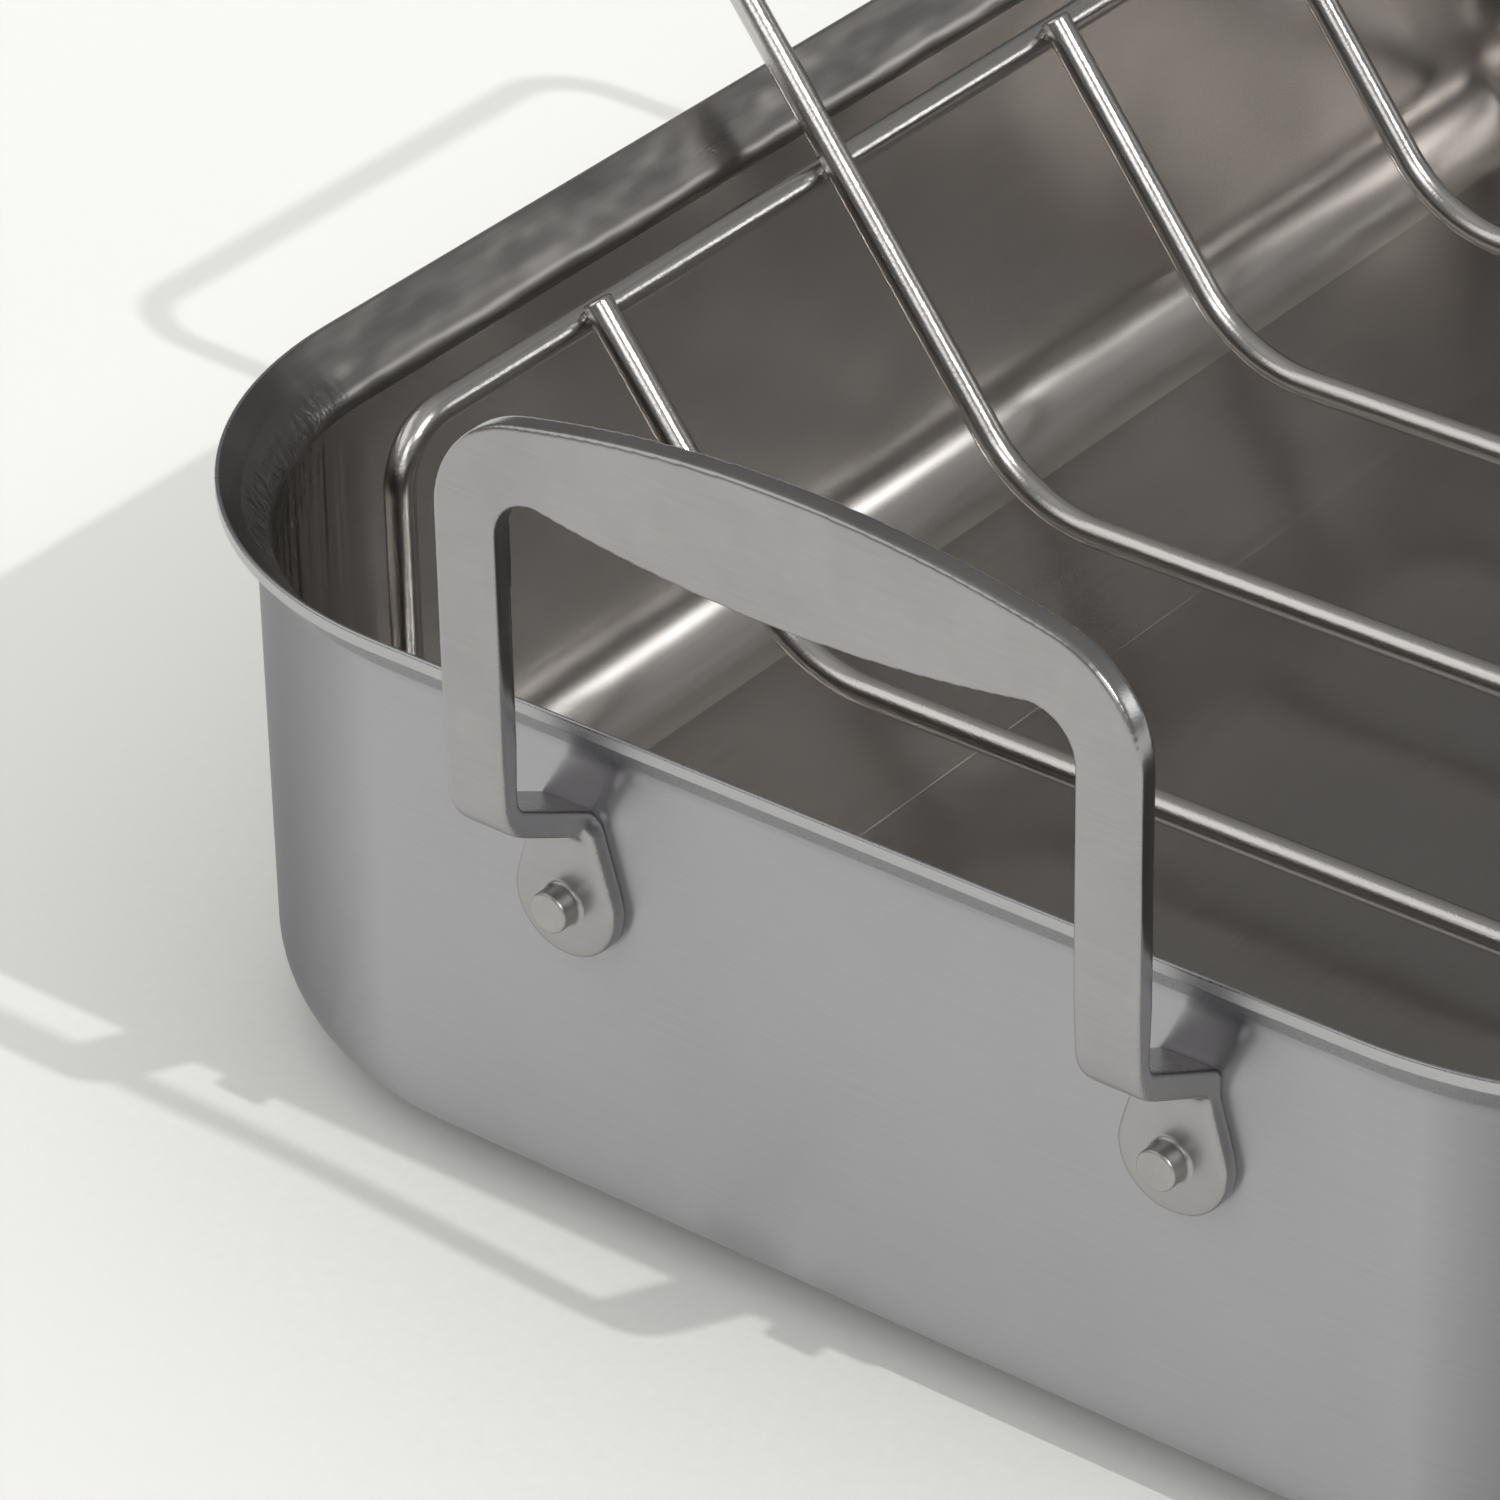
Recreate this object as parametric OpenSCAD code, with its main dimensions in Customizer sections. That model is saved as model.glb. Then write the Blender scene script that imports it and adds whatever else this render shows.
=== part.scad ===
// Roasting pan with two riveted loop handles and a lift-out wire rack.
// Millimetres, +Z up. The origin is on the table, under the middle of the pan.
// X runs along the pan, from one handle to the other.

/* [Pan] */
// Outside length of the pan between its end walls, below the rim
pan_length = 441; // [400:1:500]
// Outside width of the pan between its long walls, below the rim
pan_width = 287; // [284:1:340]
// Height of the rim above the table
pan_height = 93.3; // [88:0.1:100]
// Thickness of the clad sheet
sheet = 2.3; // [1.5:0.1:2.8]
// Outside radius of the upright corners, seen from above
corner_radius = 60; // [45:1:70]
// Outside radius where the floor turns up into the wall
base_radius = 17; // [8:0.5:20]
// Distance that the flared lip stands out past the walls
lip_reach = 5.6; // [4:0.1:8]
// Slope of the lip, up from level
lip_slope = 50; // [35:1:60]
// Radius of the bend between wall and lip, on both faces
lip_bend = 5; // [3:0.5:7]
// Rounding of the lip's upper edge
lip_round = 0.4; // [0.2:0.1:0.6]
// Height of the lip's upright cut edge, below its rounding
lip_edge = 1.7; // [1:0.1:2.5]

/* [Handles] */
// Width of a handle across the outside of its legs
handle_width = 117; // [112:1:126]
// Width of each leg
leg_width = 10.5; // [8:0.5:12]
// Thickness of the flat bar
bar_thickness = 4; // [3:0.25:5]
// Distance from the pan wall to the outer face of the bar
handle_reach = 20; // [18:0.1:26]
// Height of the middle of the grip above the table
grip_top = 152.6; // [146:0.2:160]
// Depth of the grip in its middle
grip_depth = 20.5; // [18:0.5:24]
// Radius of the outer corners of the loop
loop_corner = 18; // [14:1:20]
// Radius of the window's upper corners
window_corner = 7; // [5:0.5:9]
// Radius of the shallow crown along the top of the grip
crown_radius = 200; // [160:5:300]
// Radius of the shallow belly along the underside of the grip
belly_radius = 225; // [180:5:300]
// Slope of the arm down to the pad, below level
arm_slope = 27; // [15:1:30]
// Thickness of the sloping arm
arm_thickness = 4.2; // [3.5:0.1:5.5]
// Thickness of the pad that lies on the wall
pad_thickness = 3; // [2.5:0.1:4]
// Radius of the round lower end of the pad
pad_radius = 9; // [8:0.5:10]
// Half width of the pad at its top
pad_top_half = 5.3; // [5:0.1:7]
// Height of the pad's shoulders above the rivet
pad_shoulder = 14; // [12:0.2:16]
// Rise of the pad's rounded top edge above its shoulders
pad_crown = 1.3; // [0.5:0.1:3]

/* [Rivets] */
// Distance that each rivet lies inward of its leg's middle
rivet_inset = 1; // [0:0.25:2]
// Height of the rivets above the table
rivet_height = 60; // [56:0.5:62]
// Diameter of the rivet shank
rivet_d = 6.4; // [5:0.1:7]
// Clearance round the shank in its holes
rivet_clearance = 0.05; // [0.01:0.01:0.1]
// Length of the closed end that stands out of the pad
button_length = 3.5; // [2:0.25:5]
// Diameter of the closed end where it meets the pad
button_base_d = 7.8; // [7.5:0.1:9]
// Rounding of the closed end's rim
button_edge = 0.4; // [0.2:0.1:0.8]
// Diameter of the head inside the pan
head_d = 15; // [12:0.5:18]
// Height of the head inside the pan
head_height = 2.6; // [1.5:0.1:4]

/* [Rack] */
// Thickness of the rack wire
wire_d = 5; // [4:0.1:6]
// Distance from each end's legs to the outermost cross wire
end_span = 44.5; // [40:0.5:50]
// Gap between the legs and the pan's end walls
end_gap = 51.2; // [42:0.2:56]
// Gap between the rails and the pan's long walls
side_gap = 7; // [4:0.5:12]
// Height of the cradle's flat bottom above the table, at the wire's middle
cradle_height = 34.5; // [30:0.5:40]
// Lean of the cradle's sides from upright
cradle_lean = 37; // [30:1:38]
// Radius of the cradle's lower bends
cradle_bend = 27; // [20:1:30]
// Height of the rails above the table
rail_height = 82; // [76:0.5:84]
// Length of cross wire that stands up past the rail
wire_end = 4.3; // [3:0.1:6]
// Height of the top of the lifting loops
loop_height = 125; // [120:1:135]
// Radius of the lifting loops' corners
loop_bend = 11; // [9:0.5:14]
// Radius of the bends where the rails turn down into the legs
rail_bend = 10; // [8:0.5:14]
// Radius of the bends where the legs turn in under the rack
foot_bend = 18; // [16:0.5:22]
// Depth that a welded wire sinks into its neighbour
weld_depth = 0.3; // [0.1:0.05:0.5]
// Gap between the feet and the pan's floor
foot_clearance = 0.3; // [0.2:0.1:0.5]
// Extra thickness of the wire in a bend
bend_swell = 0.02; // [0.02:0.01:0.1]

/* [Hidden] */
$fn = 48;
arc_steps = 10;
bend_lap = 0.2;
wall_x = pan_length / 2;
wall_y = pan_width / 2;
hole_d = rivet_d + 2 * rivet_clearance;
leg_middle = (handle_width - leg_width) / 2;
rivet_y = leg_middle - rivet_inset;
foot_height = sheet + foot_clearance + wire_d / 2;
leg_station = wall_x - sheet - end_gap - wire_d / 2;
rail_y = wall_y - sheet - side_gap - wire_d / 2;
wire_pitch = (leg_station - end_span) / 2;
lean_run = tan(cradle_lean);
cradle_half = rail_y - (wire_d - weld_depth) / cos(cradle_lean) - (rail_height - cradle_height) * lean_run;

// Points along an arc in the plane, from angle a to angle b
function arc(centre, r, a, b, steps = arc_steps) =
    [for (i = [0:steps]) let (t = a + (b - a) * i / steps) centre + r * [cos(t), sin(t)]];

function unit(v) = v / norm(v);

function mirrored(points) = [for (i = [len(points) - 1:-1:0]) [-points[i][0], points[i][1]]];

// Bend from a wall face into a sloping face of the lip that ends at the point tip
function lip_turn(wall, tip) = let (
    x = wall + lip_bend,
    z = tip[1] - (tip[0] - x) * tan(lip_slope) - lip_bend / cos(lip_slope)
) arc([x, z], lip_bend, 180, 90 + lip_slope);

function reversed(points) = [for (i = [len(points) - 1:-1:0]) points[i]];

// Cross-section of floor, wall and flared lip, measured out from a corner's axis
function pan_section() = let (
    rounding = [corner_radius + lip_reach - lip_round, pan_height - lip_round],
    lower = rounding + [lip_round, -lip_edge],
    upper = rounding + lip_round * [-sin(lip_slope), cos(lip_slope)]
) concat(
    [[0, 0]],
    arc([corner_radius - base_radius, base_radius], base_radius, -90, 0),
    lip_turn(corner_radius, lower),
    [lower],
    arc(rounding, lip_round, 0, 90 + lip_slope, 6),
    reversed(lip_turn(corner_radius - sheet, upper)),
    arc([corner_radius - base_radius, base_radius], base_radius - sheet, 0, -90),
    [[0, sheet]]
);

module pan_side(length) {
    rotate([90, 0, 90]) linear_extrude(height = length, center = true) polygon(pan_section());
}

module pan_shell() {
    straight_x = pan_length - 2 * corner_radius;
    straight_y = pan_width - 2 * corner_radius;
    for (quarter = [0:3]) {
        along = quarter % 2 == 0 ? straight_x : straight_y;
        across = quarter % 2 == 0 ? straight_y : straight_x;
        rotate([0, 0, 90 * quarter]) {
            translate([along / 2, across / 2, 0]) rotate_extrude(angle = 90) polygon(pan_section());
            translate([0, across / 2, 0]) pan_side(along);
        }
    }
    translate([-straight_x / 2, -straight_y / 2, 0]) cube([straight_x, straight_y, sheet]);
}

module pan_body() {
    color("lightslategray") difference() {
        pan_shell();
        for (side = [-1, 1], y = [-rivet_y, rivet_y])
            translate([side * wall_x, y, rivet_height])
                rotate([0, 90, 0]) cylinder(d = hole_d, h = 4 * sheet, center = true);
    }
}

// Outer edge of the loop: two legs, two corners and the crowned top
function loop_outline(low) = let (
    corner_y = handle_width / 2 - loop_corner,
    crown = [0, grip_top - crown_radius],
    corner = [corner_y, crown[1] + sqrt(pow(crown_radius - loop_corner, 2) - pow(corner_y, 2))],
    meet = atan2(corner[1] - crown[1], corner_y),
    half = concat(
        [[handle_width / 2, low]],
        arc(corner, loop_corner, 0, meet),
        arc(crown, crown_radius, meet, 90)
    )
) concat(half, mirrored(half));

// Inner edge of the loop: two legs, two corners and the belly of the grip
function window_outline(low) = let (
    corner_y = handle_width / 2 - leg_width - window_corner,
    belly = [0, grip_top - grip_depth + belly_radius],
    corner = [corner_y, belly[1] - sqrt(pow(belly_radius + window_corner, 2) - pow(corner_y, 2))],
    meet = atan2(belly[1] - corner[1], -corner_y),
    half = concat(
        [[corner_y + window_corner, low]],
        arc(corner, window_corner, 0, meet),
        arc(belly, belly_radius, meet - 180, -90)
    )
) concat(half, mirrored(half));

// Side view of one leg's foot: the bend, the sloping arm and the pad's upper edge.
// Here x runs away from the wall and y is the height.
function foot_outline(leg_low) = let (
    slope = tan(arm_slope),
    pad_top = rivet_height + pad_shoulder + pad_crown,
    under = pad_top - arm_thickness / cos(arm_slope),
    back = handle_reach - bar_thickness,
    outer_r = bar_thickness + 5,
    inner_r = 3,
    turn = 90 - arm_slope,
    outer_y = under + (handle_reach - outer_r) * slope + outer_r / cos(arm_slope),
    inner_y = pad_top + (back - inner_r) * slope + inner_r / cos(arm_slope)
) concat(
    [[0, pad_top - arm_thickness], [0, pad_top]],
    arc([back - inner_r, inner_y], inner_r, -turn, 0),
    [[back, leg_low], [handle_reach, leg_low]],
    arc([handle_reach - outer_r, outer_y], outer_r, 0, -turn),
    [[pad_thickness - 1, under + (pad_thickness - 1) * slope]]
);

// Teardrop pad, centred on its rivet
module pad() {
    top = [pad_top_half, pad_shoulder];
    touch = atan2(top[1], top[0]) - acos(pad_radius / norm(top));
    crown_r = (pow(pad_top_half, 2) + pow(pad_crown, 2)) / (2 * pad_crown);
    crown_y = pad_shoulder + pad_crown - crown_r;
    crown_angle = asin(pad_top_half / crown_r);
    half = concat(
        [pad_radius * [cos(touch), sin(touch)]],
        arc([0, crown_y], crown_r, 90 - crown_angle, 90)
    );
    difference() {
        union() {
            cylinder(r = pad_radius, h = pad_thickness);
            linear_extrude(height = pad_thickness) polygon(concat(half, mirrored(half)));
        }
        translate([0, 0, -1]) cylinder(d = hole_d, h = pad_thickness + 2);
    }
}

// One cast handle, on the +X end wall
module handle() {
    leg_low = rivet_height + 36;
    translate([wall_x, 0, 0]) {
        translate([handle_reach - bar_thickness, 0, 0])
            rotate([90, 0, 90]) linear_extrude(height = bar_thickness) difference() {
                polygon(loop_outline(leg_low));
                polygon(window_outline(leg_low - 1));
            }
        for (side = [-1, 1]) {
            translate([0, side * leg_middle + leg_width / 2, 0])
                rotate([90, 0, 0]) linear_extrude(height = leg_width) polygon(foot_outline(leg_low));
            translate([0, side * rivet_y, rivet_height])
                rotate([90, 0, 90]) pad();
        }
    }
}

module handle_right() {
    color("silver") handle();
}

module handle_left() {
    color("silver") rotate([0, 0, 180]) handle();
}

// One rivet in the +X end wall: domed head inside, closed button outside
module rivet() {
    grip = sheet + pad_thickness;
    dome_r = (pow(head_d / 2, 2) + pow(head_height, 2)) / (2 * head_height);
    dome_angle = asin(head_d / 2 / dome_r);
    waist = (button_base_d - rivet_d) / 2;
    section = concat(
        [[0, -head_height]],
        arc([0, dome_r - head_height], dome_r, -90, -90 + dome_angle),
        [[rivet_d / 2, 0], [rivet_d / 2, grip], [button_base_d / 2, grip]],
        arc([button_base_d / 2, grip + waist], waist, -90, -180, 4),
        arc([rivet_d / 2 - button_edge, grip + button_length - button_edge], button_edge, 0, 90, 4),
        [[0, grip + button_length]]
    );
    translate([wall_x - sheet, 0, rivet_height])
        rotate([0, 90, 0]) rotate_extrude() polygon(section);
}

module rivet_at(side, y) {
    color("gainsboro") translate([0, y * rivet_y, 0])
        rotate([0, 0, side > 0 ? 0 : 180]) rivet();
}

// A straight run of wire
module rod(a, b) {
    run = b - a;
    translate(a) rotate([0, acos(run[2] / norm(run)), atan2(run[1], run[0])])
        cylinder(d = wire_d, h = norm(run));
}

// A bend at the corner p, from direction u to direction v
module elbow(p, u, v, r) {
    turn = acos(u * v);
    side = unit(v - (u * v) * u);
    x = -side;
    z = cross(x, u);
    c = p - u * r * tan(turn / 2) + side * r;
    multmatrix([
        [x[0], u[0], z[0], c[0]],
        [x[1], u[1], z[1], c[1]],
        [x[2], u[2], z[2], c[2]],
        [0, 0, 0, 1]
    ]) rotate_extrude(angle = turn) translate([r, 0]) circle(d = wire_d + bend_swell);
}

// Length that a bend of radius r takes off each leg of the corner i
function bend_reach(points, i, r) = let (
    n = len(points),
    u = unit(points[i] - points[(i + n - 1) % n]),
    v = unit(points[(i + 1) % n] - points[i])
) r * tan(acos(u * v) / 2);

// Round wire along a closed or open path, with a bend radius for each corner.
// Each straight run goes a little way into the bends that it meets.
module wire(points, radii, closed) {
    n = len(points);
    first = closed ? 0 : 1;
    last = closed ? n - 1 : n - 2;
    reach = [for (i = [0:n - 1]) i < first || i > last ? 0 : bend_reach(points, i, radii[i]) - bend_lap];
    for (i = [0:last]) {
        a = points[i];
        b = points[(i + 1) % n];
        rod(a + unit(b - a) * reach[i], b - unit(b - a) * reach[(i + 1) % n]);
    }
    for (i = [first:last]) {
        before = points[(i + n - 1) % n];
        after = points[(i + 1) % n];
        elbow(points[i], unit(points[i] - before), unit(after - points[i]), radii[i]);
    }
}

// Rails, legs and feet, bent from one length and welded end to end
module rack_frame() {
    s = leg_station;
    y = rail_y;
    up = rail_height;
    low = foot_height;
    color("whitesmoke") wire(
        [
            [-s, y, up], [s, y, up], [s, y, low], [s, -y, low],
            [s, -y, up], [-s, -y, up], [-s, -y, low], [-s, y, low]
        ],
        [rail_bend, rail_bend, foot_bend, foot_bend, rail_bend, rail_bend, foot_bend, foot_bend],
        true
    );
}

// A point on the cradle's sloping side at a height
function on_side(x, side, height) =
    [x, side * (cradle_half + (height - cradle_height) * lean_run), height];

module cross_wire(x) {
    top = rail_height + wire_end;
    color("whitesmoke") wire(
        [
            on_side(x, -1, top), on_side(x, -1, cradle_height),
            on_side(x, 1, cradle_height), on_side(x, 1, top)
        ],
        [0, cradle_bend, cradle_bend, 0],
        false
    );
}

// Two cross wires carried up past the rails and joined by a lifting loop on each side
module rack_lifting_hoop() {
    x = wire_pitch;
    color("whitesmoke") wire(
        [
            on_side(-x, -1, loop_height), on_side(-x, -1, cradle_height),
            on_side(-x, 1, cradle_height), on_side(-x, 1, loop_height),
            on_side(x, 1, loop_height), on_side(x, 1, cradle_height),
            on_side(x, -1, cradle_height), on_side(x, -1, loop_height)
        ],
        [loop_bend, cradle_bend, cradle_bend, loop_bend, loop_bend, cradle_bend, cradle_bend, loop_bend],
        true
    );
}

pan_body();
handle_left();
handle_right();
rivet_at(-1, -1);  // rivet_left_front
rivet_at(-1, 1);  // rivet_left_back
rivet_at(1, -1);  // rivet_right_front
rivet_at(1, 1);  // rivet_right_back
rack_frame();
rack_lifting_hoop();
cross_wire(-2 * wire_pitch);  // rack_wire_left
cross_wire(0);  // rack_wire_middle
cross_wire(2 * wire_pitch);  // rack_wire_right
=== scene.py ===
"""Looks of the roasting pan and its lift-out wire rack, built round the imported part.

Lengths are in millimetres and become metres when a mesh is made. The depths of a material's relief,
the distances of the lights and the camera's place are in metres.
X runs along the pan, from handle to handle, Y runs across it, and Z is up.
"""

import math

import bmesh
import bpy
from mathutils import Matrix, Vector


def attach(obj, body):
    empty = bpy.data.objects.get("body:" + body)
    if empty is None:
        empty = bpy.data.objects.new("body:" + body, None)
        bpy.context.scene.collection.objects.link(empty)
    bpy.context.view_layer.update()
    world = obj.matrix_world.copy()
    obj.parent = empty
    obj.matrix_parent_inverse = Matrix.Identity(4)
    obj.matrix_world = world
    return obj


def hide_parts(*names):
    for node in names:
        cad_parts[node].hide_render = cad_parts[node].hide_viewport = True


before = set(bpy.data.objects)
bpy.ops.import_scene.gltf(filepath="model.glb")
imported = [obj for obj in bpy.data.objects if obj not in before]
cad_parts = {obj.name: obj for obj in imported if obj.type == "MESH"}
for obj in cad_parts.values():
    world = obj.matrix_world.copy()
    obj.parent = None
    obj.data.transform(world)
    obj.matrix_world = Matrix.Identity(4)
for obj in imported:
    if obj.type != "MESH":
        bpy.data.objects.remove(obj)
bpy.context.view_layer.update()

MM = 0.001

# Pan
PAN_LENGTH, PAN_WIDTH, PAN_HEIGHT = 441.0, 287.0, 93.3
SHEET = 2.3
CORNER_RADIUS, BASE_RADIUS = 60.0, 17.0
LIP_REACH, LIP_SLOPE, LIP_BEND, LIP_ROUND, LIP_EDGE = 5.6, math.radians(50.0), 5.0, 0.4, 1.7
WALL_X, WALL_Y = PAN_LENGTH / 2, PAN_WIDTH / 2
CORNER_X, CORNER_Y = WALL_X - CORNER_RADIUS, WALL_Y - CORNER_RADIUS
CORNER_STEPS = 36
# A flat that is longer than the first value gets a row of points this near to each of its ends
LONG_FLAT, EDGE_ROW = 3.0, 0.25

# Kinds of surface on the pan, in the order of its materials
OUTSIDE, EDGE, CORE, INSIDE, FLOOR, LIP = range(6)

# Rivets. The head narrows a little at the wall, and the button's foot spreads and sinks into the pad
RIVET_HEIGHT = 60.0
SHANK, BUTTON_BASE, BUTTON_LENGTH, BUTTON_ROUND = 6.4, 7.8, 3.5, 0.45
HEAD, HEAD_HEIGHT = 15.0, 2.6
HEAD_RIM, BUTTON_SPREAD, BUTTON_SINK, BUTTON_ROW = 0.05, 0.25, 0.1, 1.2

# Handles
HANDLE_WIDTH, LEG_WIDTH, BAR, REACH = 117.0, 10.5, 4.0, 20.0
GRIP_TOP, GRIP_DEPTH = 152.6, 20.5
LOOP_CORNER, WINDOW_CORNER = 18.0, 7.0
CROWN_RADIUS, BELLY_RADIUS = 200.0, 225.0
ARM_SLOPE, ARM = math.radians(27.0), 4.2
HEEL_OUTER, HEEL_INNER = BAR + 5.0, 3.0
PAD, PAD_RADIUS, PAD_TOP_HALF, PAD_SHOULDER, PAD_CROWN = 3.0, 9.0, 5.3, 14.0, 1.3
LEG_MIDDLE, LEG_LOW = (HANDLE_WIDTH - LEG_WIDTH) / 2, RIVET_HEIGHT + 36.0
RIVET_Y = LEG_MIDDLE - 1.0
# How far a handle's blanks run into the wall, up into the legs and down into the pads
WALL_OVERLAP, LEG_OVERLAP, PAD_OVERLAP = 0.6, 2, 1
# The casting is rounded more below the first height, and fully so from the second value further down
ROUND_BELOW, ROUND_BLEND = 94.0, 8.0

# Rack
WIRE, WIRE_PITCH = 5.0, 60.0
LEG_STATION, RAIL_Y, RAIL_HEIGHT, FOOT_HEIGHT = 164.5, 131.7, 82.0, 5.1
RAIL_BEND, FOOT_BEND, CRADLE_BEND, LOOP_BEND = 10.0, 18.0, 27.0, 11.0
CRADLE_HEIGHT, LOOP_HEIGHT, WIRE_END = 34.5, 125.0, 4.3
LEAN = math.radians(37.0)
TIP_ROUND = 0.55
WELD_DEPTH = 0.3
BEAD_HALF_WIDTH, BEAD_HALF_DEPTH = 2.35, 1.15
CRADLE_DROP = RAIL_HEIGHT - CRADLE_HEIGHT
CRADLE_HALF = RAIL_Y - (WIRE - WELD_DEPTH) / math.cos(LEAN) - CRADLE_DROP * math.tan(LEAN)

# Table
TABLE_HALF, TABLE_TOP = 6000, -0.2

# Finishes: depth of fine grain, and the places of a Mix node's colour sockets
GRAIN_DEPTH = 0.0002
MIX_FIRST, MIX_SECOND, MIX_RESULT = 6, 7, 2

# Light, with its angles in degrees and its azimuths counted round the pan from +X
ROOM_COLOUR = (1.0, 0.985, 0.965)
ROOM_GREYS = ((0.0, 0.16), (0.30, 0.20), (0.60, 0.25), (0.88, 0.34), (1.0, 0.45))
ROOM_GLOWS = (
    {"azimuth": -43.5, "height": 15.5, "full": 4, "gone": 8.5, "strength": 3.0},
    {"azimuth": -37, "height": 34, "full": 4, "gone": 12, "strength": 0.10},
    {"azimuth": -147, "height": 25, "full": 4, "gone": 13, "strength": 1.6},
    {"azimuth": -142, "height": 36, "full": 6, "gone": 14, "strength": 2.2},
)
SUN_AZIMUTH, SUN_HEIGHT, SUN_WIDTH, SUN_STRENGTH = -93.15, 42.5, 0.9, 1.40
SUN_COLOUR = (1.0, 0.985, 0.96)

# Camera: its place, the ways that its back and, before its roll, its right side face, its roll and its lens
CAMERA_PLACE = (-0.8789, -0.5048, 0.6250)
CAMERA_BACK, CAMERA_LEVEL, CAMERA_ROLL = (-0.662, -0.528, 0.532), (0.6238, -0.7816, 0.0), -1.12
CAMERA_SENSOR, CAMERA_LENS = 36.0, 175.2


# Meshes

def arc(centre, radius, start, end, steps):
    """Points along an arc, with its angles in degrees."""
    turns = [math.radians(start + (end - start) * i / steps) for i in range(steps + 1)]
    return [(centre[0] + radius * math.cos(t), centre[1] + radius * math.sin(t)) for t in turns]


def new_mesh(name, points, faces=(), edges=()):
    mesh = bpy.data.meshes.new(name)
    mesh.from_pydata([Vector(p) * MM for p in points], edges, faces)
    mesh.update()
    return mesh


def edited_mesh(name, edit):
    """Ends an edit and hands its shape over as a mesh."""
    mesh = bpy.data.meshes.new(name)
    edit.to_mesh(mesh)
    edit.free()
    return mesh


def piece(name, data, *materials):
    made = bpy.data.objects.new(name, data)
    bpy.context.scene.collection.objects.link(made)
    for material in materials:
        data.materials.append(material)
    return made


def applied(source, name):
    """The evaluated object as a plain mesh in a new object."""
    bpy.context.view_layer.update()
    graph = bpy.context.evaluated_depsgraph_get()
    shape = source.evaluated_get(graph)
    mesh = bpy.data.meshes.new_from_object(shape, preserve_all_data_layers=True, depsgraph=graph)
    mesh.name = name
    bpy.data.objects.remove(source)
    return piece(name, mesh)


# Node helpers

def add(tree, kind, **values):
    node = tree.nodes.new(kind)
    for key, value in values.items():
        setattr(node, key, value)
    return node


def wire_up(tree, *links):
    for source, target in links:
        tree.links.new(source, target)


def maths(tree, operation, a, b):
    """One step of arithmetic on two values, each a number or the output of a node."""
    node = add(tree, "ShaderNodeMath", operation=operation)
    for socket, value in zip(node.inputs, (a, b)):
        if isinstance(value, (int, float)):
            socket.default_value = value
        else:
            tree.links.new(value, socket)
    return node.outputs[0]


def weighed(tree, a, share_a, b, share_b):
    """Two values added, each times its own share."""
    return maths(tree, "ADD", maths(tree, "MULTIPLY", a, share_a), maths(tree, "MULTIPLY", b, share_b))


def stretched(tree, coordinates, scale, turn=(0, 0, 0)):
    node = add(tree, "ShaderNodeMapping")
    node.inputs["Scale"].default_value = scale
    node.inputs["Rotation"].default_value = turn
    tree.links.new(coordinates, node.inputs["Vector"])
    return node.outputs["Vector"]


def noise(tree, coordinates, scale, detail=2.0, roughness=0.5):
    node = add(tree, "ShaderNodeTexNoise")
    node.inputs["Scale"].default_value = scale
    node.inputs["Detail"].default_value = detail
    node.inputs["Roughness"].default_value = roughness
    tree.links.new(coordinates, node.inputs["Vector"])
    return node.outputs["Fac"]


def between(tree, value, low, high, from_low=0.3, from_high=0.7):
    """A value spread over a new range, from low to high."""
    node = add(tree, "ShaderNodeMapRange")
    for name, number in (("From Min", from_low), ("From Max", from_high), ("To Min", low), ("To Max", high)):
        node.inputs[name].default_value = number
    tree.links.new(value, node.inputs["Value"])
    return node.outputs["Result"]


def tinted(tree, value, dark, light, from_low=0.3, from_high=0.7):
    """A value turned into a colour between dark and light."""
    node = add(tree, "ShaderNodeValToRGB")
    for stop, position, colour in zip(node.color_ramp.elements, (from_low, from_high), (dark, light)):
        stop.position = position
        stop.color = (*colour, 1)
    tree.links.new(value, node.inputs["Fac"])
    return node.outputs["Color"]


def blended(tree, blend, first, second):
    """Two colours put together in full, by one of the Mix node's ways."""
    node = add(tree, "ShaderNodeMix", data_type="RGBA", blend_type=blend)
    node.inputs["Factor"].default_value = 1.0
    wire_up(tree, (first, node.inputs[MIX_FIRST]), (second, node.inputs[MIX_SECOND]))
    return node.outputs[MIX_RESULT]


def bumped(tree, height, strength, under=None, depth=GRAIN_DEPTH):
    """Relief on the surface, over the relief under it where there is some."""
    node = add(tree, "ShaderNodeBump")
    node.inputs["Strength"].default_value = strength
    node.inputs["Distance"].default_value = depth
    tree.links.new(height, node.inputs["Height"])
    if under is not None:
        tree.links.new(under, node.inputs["Normal"])
    return node.outputs["Normal"]


def new_material(name):
    material = bpy.data.materials.new(name)
    material.use_nodes = True
    tree = material.node_tree
    return material, tree, tree.nodes["Principled BSDF"], add(tree, "ShaderNodeTexCoord").outputs["Object"]


def metal(name):
    material, tree, shader, place = new_material(name)
    shader.inputs["Metallic"].default_value = 1.0
    return material, tree, shader, place


def run_map(tree):
    """The pan's own map: how far round the walls, and how far along the sheet's outline."""
    return add(tree, "ShaderNodeUVMap", uv_map="run").outputs["UV"]


def attribute(tree, name, output="Fac"):
    return add(tree, "ShaderNodeAttribute", attribute_name=name).outputs[output]


def brushed_along(tree, shader, spread):
    """Draws the gloss out across lines of brushing that run level round the walls."""
    tangent = add(tree, "ShaderNodeTangent", direction_type="UV_MAP", uv_map="run")
    tree.links.new(tangent.outputs["Tangent"], shader.inputs["Tangent"])
    shader.inputs["Anisotropic"].default_value = spread
    shader.inputs["Anisotropic Rotation"].default_value = 0.25


# Finishes

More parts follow.
